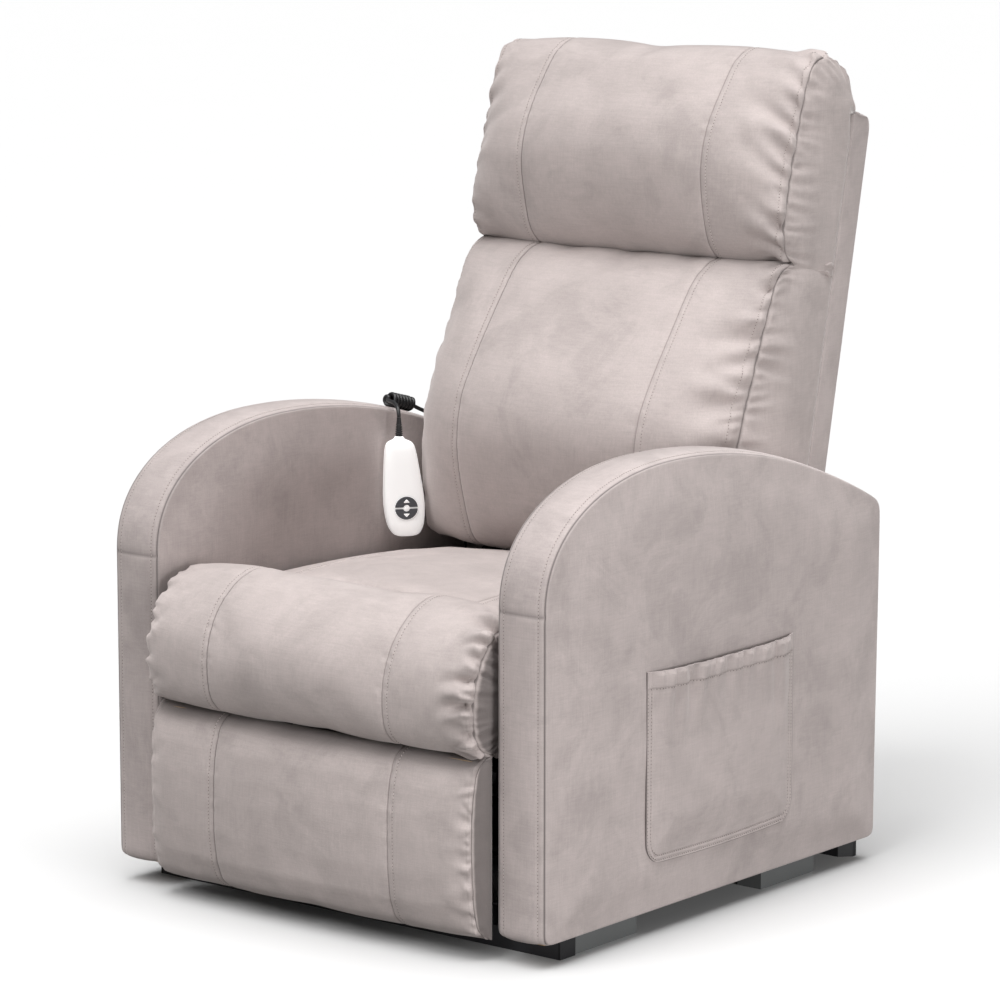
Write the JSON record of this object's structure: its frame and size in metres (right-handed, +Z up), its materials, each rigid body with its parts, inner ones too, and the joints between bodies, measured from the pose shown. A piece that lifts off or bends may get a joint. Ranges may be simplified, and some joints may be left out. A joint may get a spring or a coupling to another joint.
{
  "type": "lift recliner chair",
  "caption": "Upholstered armchair with a reclining back, a folding footrest, a powered lift base, a side pocket and a corded handset.",
  "frame": {"origin": "on the floor, midway between the arms' outer faces and at mid-depth of the arm panels", "axes": "+Z up, the chair faces -Y, +X is on the sitter's left, where the side pocket is"},
  "size_m": [0.709, 0.8603, 1.0444],
  "materials": {
    "upholstery": "light greige suede microfibre, matt with a soft nap",
    "wood": "plain unfinished hardwood and plywood",
    "black_steel": "dark grey powder coat",
    "link_steel": "black painted flat bar",
    "bright_steel": "zinc plated",
    "spring_steel": "bare spring wire",
    "black_plastic": "fine matt texture",
    "foot_plastic": "dark grey matt",
    "nylon": "natural white nylon",
    "white_plastic": "satin white",
    "grey_plastic": "dark grey, soft touch",
    "cord_black": "black cable sheath"
  },
  "bodies": {
    "base": {"base_frame": "black_steel", "base_pivot_bolts": "bright_steel", "actuator_mount_pin": "bright_steel", "base_end_caps": "black_plastic", "power_supply": "black_plastic"},
    "lift_link": {"lift_arms": "link_steel", "lever_pin": "bright_steel"},
    "stay_link": {"stay_arms": "link_steel"},
    "motor": {"actuator_housing": "black_plastic", "actuator_tube": "black_steel"},
    "motor_rod": {"actuator_rod": "bright_steel"},
    "chassis": {"side_plates": "link_steel", "frame_cross_tube": "black_steel", "rear_rail": "wood", "guide_channels": "link_steel", "frame_pivot_pins": "bright_steel", "arm_bolts": "bright_steel", "rear_apron": "upholstery", "control_box": "black_plastic", "arm_cover_left": "upholstery", "arm_cover_right": "upholstery", "arm_frame_left": "wood", "arm_frame_right": "wood", "arm_feet": "foot_plastic", "side_pocket": "upholstery", "coiled_cord": "cord_black", "handset_cord": "cord_black"},
    "carriage": {"carriage_plates": "link_steel", "carriage_pins": "bright_steel", "slide_runners": "nylon", "seat_side_rails": "wood", "seat_cross_rails": "wood", "seat_springs": "spring_steel", "seat_cushion": "upholstery", "front_bolster": "upholstery"},
    "back": {"back_brackets": "link_steel", "back_bolts": "bright_steel", "back_posts": "wood", "back_rails": "wood", "back_springs": "spring_steel", "back_shell": "upholstery", "lumbar_cushion": "upholstery", "head_cushion": "upholstery"},
    "drive_link": {"drive_links": "link_steel", "drive_link_pins": "bright_steel"},
    "guide_link": {"guide_links": "link_steel"},
    "carrier": {"carrier_bars": "link_steel", "carrier_pins": "bright_steel"},
    "footrest": {"footrest_brackets": "link_steel", "footrest_pins": "bright_steel", "footrest_board": "wood", "footrest_pad": "upholstery", "footrest_screws": "bright_steel"},
    "control_link": {"control_links": "link_steel"},
    "handset": {"handset_front": "white_plastic", "handset_rear": "white_plastic", "strain_relief": "black_plastic"},
    "up_button": {"up_button": "grey_plastic"},
    "down_button": {"down_button": "grey_plastic"}
  },
  "joints": [
    {"name": "lift", "type": "hinge", "parent": "base", "child": "lift_link", "pos_m": [0, 0.25, 0.076], "axis": [-1, 0, 0], "range_deg": [0, 39.81]},
    {"name": "frame_tilt", "type": "hinge", "parent": "lift_link", "child": "chassis", "pos_m": [0, -0.127, 0.115], "axis": [1, 0, 0], "range_deg": [0, 65.81]},
    {"name": "stay_swing", "type": "hinge", "parent": "base", "child": "stay_link", "pos_m": [0, 0.054, 0.105], "axis": [-1, 0, 0], "range_deg": [0, 48.16]},
    {"name": "motor_swing", "type": "hinge", "parent": "base", "child": "motor", "pos_m": [0, -0.065, 0.042], "axis": [-1, 0, 0], "range_deg": [0, 8.81]},
    {"name": "motor_extend", "type": "slide", "parent": "motor", "child": "motor_rod", "axis": [0, 0.8348, 0.5506], "range_m": [0, 0.08886]},
    {"name": "seat_slide", "type": "slide", "parent": "chassis", "child": "carriage", "axis": [0, -1, 0], "range_m": [0, 0.05]},
    {"name": "recline", "type": "hinge", "parent": "carriage", "child": "back", "pos_m": [0, 0.2, 0.33], "axis": [-1, 0, 0], "range_deg": [0, 35]},
    {"name": "footrest_open", "type": "hinge", "parent": "carriage", "child": "drive_link", "pos_m": [0, -0.247, 0.213], "axis": [-1, 0, 0], "range_deg": [0, 147]},
    {"name": "guide_swing", "type": "hinge", "parent": "carriage", "child": "guide_link", "pos_m": [0, -0.202, 0.191], "axis": [-1, 0, 0], "range_deg": [0, 147]},
    {"name": "carrier_turn", "type": "hinge", "parent": "drive_link", "child": "carrier", "pos_m": [0, -0.126, 0.101], "axis": [1, 0, 0], "range_deg": [0, 147]},
    {"name": "footrest_turn", "type": "hinge", "parent": "carrier", "child": "footrest", "pos_m": [0, -0.291, 0.156], "axis": [-1, 0, 0], "range_deg": [0, 90]},
    {"name": "control_swing", "type": "hinge", "parent": "footrest", "child": "control_link", "pos_m": [0, -0.231, 0.183], "axis": [1, 0, 0], "range_deg": [0, 106.75]},
    {"name": "handset_swing", "type": "hinge", "parent": "chassis", "child": "handset", "pos_m": [-0.246, 0.099, 0.558], "axis": [-0.866, -0.5, 0], "range_deg": [0, 8]},
    {"name": "press_up", "type": "slide", "parent": "handset", "child": "up_button", "axis": [-0.8192, 0.5736, 0], "range_m": [0, 0.001], "stiffness_N_per_m": 300},
    {"name": "press_down", "type": "slide", "parent": "handset", "child": "down_button", "axis": [-0.8192, 0.5736, 0], "range_m": [0, 0.001], "stiffness_N_per_m": 300}
  ],
  "couplings": [
    {"joint": "frame_tilt", "follows": "lift", "ratio": 1.653},
    {"joint": "stay_swing", "follows": "lift", "ratio": 1.2097},
    {"joint": "motor_swing", "follows": "lift", "ratio": 0.22123},
    {"joint": "motor_extend", "follows": "lift", "m_per_rad": 0.12788},
    {"joint": "seat_slide", "follows": "recline", "m_per_rad": 0.08185},
    {"joint": "guide_swing", "follows": "footrest_open", "ratio": 1},
    {"joint": "carrier_turn", "follows": "footrest_open", "ratio": 1},
    {"joint": "footrest_turn", "follows": "footrest_open", "ratio": 0.61224},
    {"joint": "control_swing", "follows": "footrest_open", "ratio": 0.72619}
  ]
}
